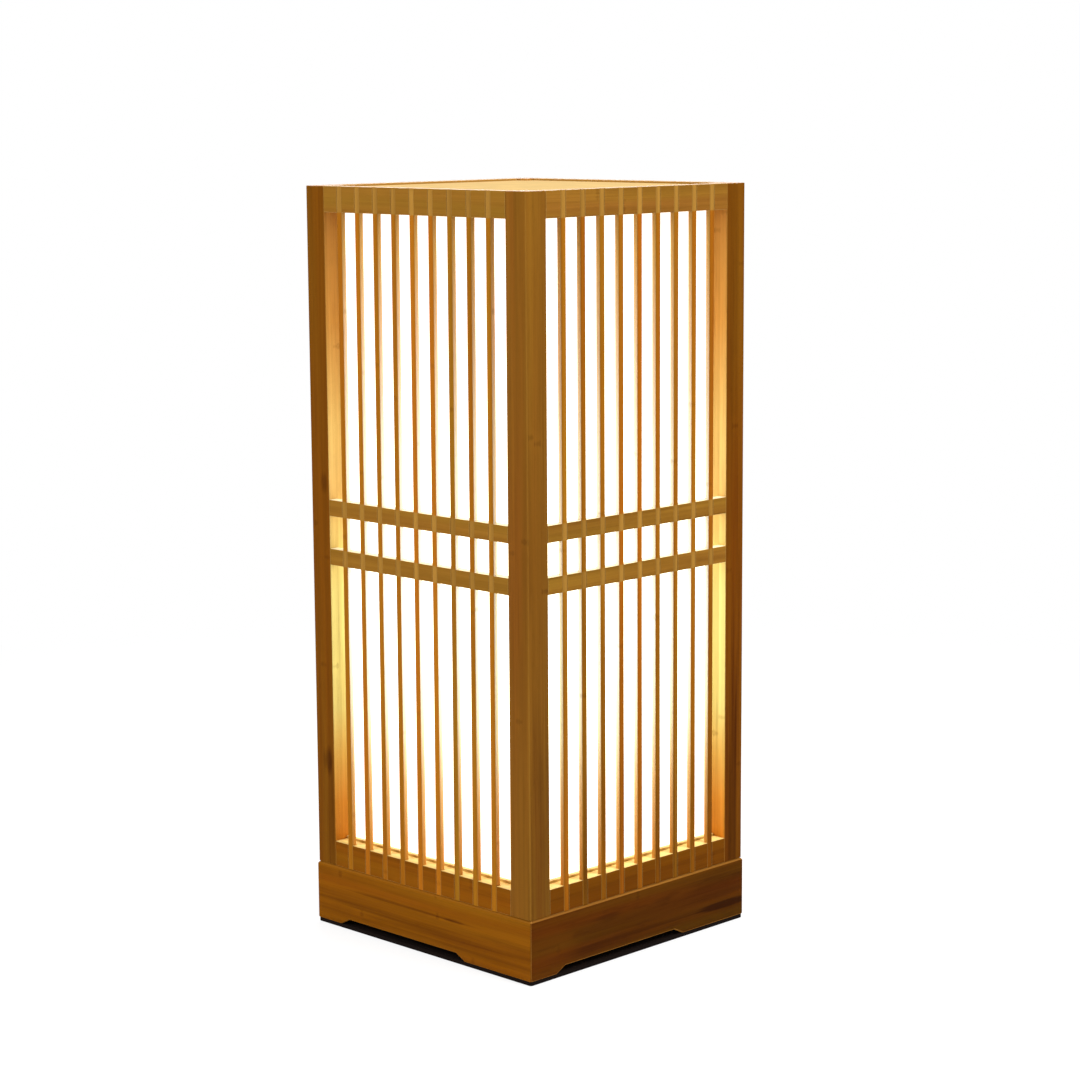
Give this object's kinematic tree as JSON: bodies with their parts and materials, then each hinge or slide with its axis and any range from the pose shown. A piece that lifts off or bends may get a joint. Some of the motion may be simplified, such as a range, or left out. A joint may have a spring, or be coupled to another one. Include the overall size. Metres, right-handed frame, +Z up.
{
  "type": "bamboo table lamp",
  "caption": "Square bamboo lattice lantern on a low plinth, with translucent sheets behind the slats, a lampholder and a bulb.",
  "frame": {"origin": "centre of the footprint, on the surface that the lamp stands on", "axes": "+Z up; the lamp's four faces look along X and Y; the corner nearest the picture's camera is at +X, -Y"},
  "size_m": [0.15, 0.15, 0.365],
  "materials": {
    "bamboo": "satin lacquer",
    "bamboo_light": "satin lacquer",
    "bamboo_dark": "satin lacquer",
    "diffuser": "translucent, lit from inside",
    "black_foam": "matt",
    "black_rubber": "matt",
    "steel": "zinc plated",
    "brass": "bright",
    "holder_plastic": "moulded",
    "ceramic": "unglazed",
    "opal": "opal",
    "bulb_plastic": "moulded",
    "aluminium": "plain",
    "nickel": "nickel plated",
    "black_glass": "gloss",
    "solder": "soldered"
  },
  "bodies": {
    "base": {"plinth_front": "bamboo_dark", "plinth_right": "bamboo_dark", "plinth_back": "bamboo_dark", "plinth_left": "bamboo_dark", "corner_blocks": "bamboo_light", "base_board": "bamboo_light", "base_screws": "steel", "base_sheet": "black_foam", "cable_grommet": "black_rubber", "locating_cleats": "bamboo_light", "stem": "steel", "stem_nuts": "steel", "stem_washers": "steel", "holder_cap": "holder_plastic", "holder_sleeve": "holder_plastic", "holder_insulator": "ceramic", "holder_shell": "brass", "holder_contact": "brass"},
    "bulb": {"bulb_globe": "opal", "bulb_collar": "bulb_plastic", "bulb_plate": "aluminium", "bulb_cap": "nickel", "bulb_insulator": "black_glass", "bulb_tip": "solder"},
    "lantern": {"post_near": "bamboo", "post_right": "bamboo", "post_far": "bamboo", "post_left": "bamboo", "rail_top_front": "bamboo", "rail_top_right": "bamboo", "rail_top_back": "bamboo", "rail_top_left": "bamboo", "rail_upper_front": "bamboo", "rail_upper_right": "bamboo", "rail_upper_back": "bamboo", "rail_upper_left": "bamboo", "rail_lower_front": "bamboo", "rail_lower_right": "bamboo", "rail_lower_back": "bamboo", "rail_lower_left": "bamboo", "rail_foot_front": "bamboo", "rail_foot_right": "bamboo", "rail_foot_back": "bamboo", "rail_foot_left": "bamboo", "slats_front": "bamboo_light", "slats_right": "bamboo_light", "slats_back": "bamboo_light", "slats_left": "bamboo_light", "sill_beads": "bamboo_light", "head_beads": "bamboo_light", "film_front": "diffuser", "film_right": "diffuser", "film_back": "diffuser", "film_left": "diffuser", "film_top": "diffuser"}
  },
  "joints": [
    {"name": "lantern_lift", "type": "slide", "parent": "base", "child": "lantern", "axis": [0, 0, 1], "range_m": [0, 0.2]},
    {"name": "bulb_out", "type": "slide", "parent": "base", "child": "bulb", "axis": [0, 0, 1], "range_m": [0, 0.035]}
  ]
}
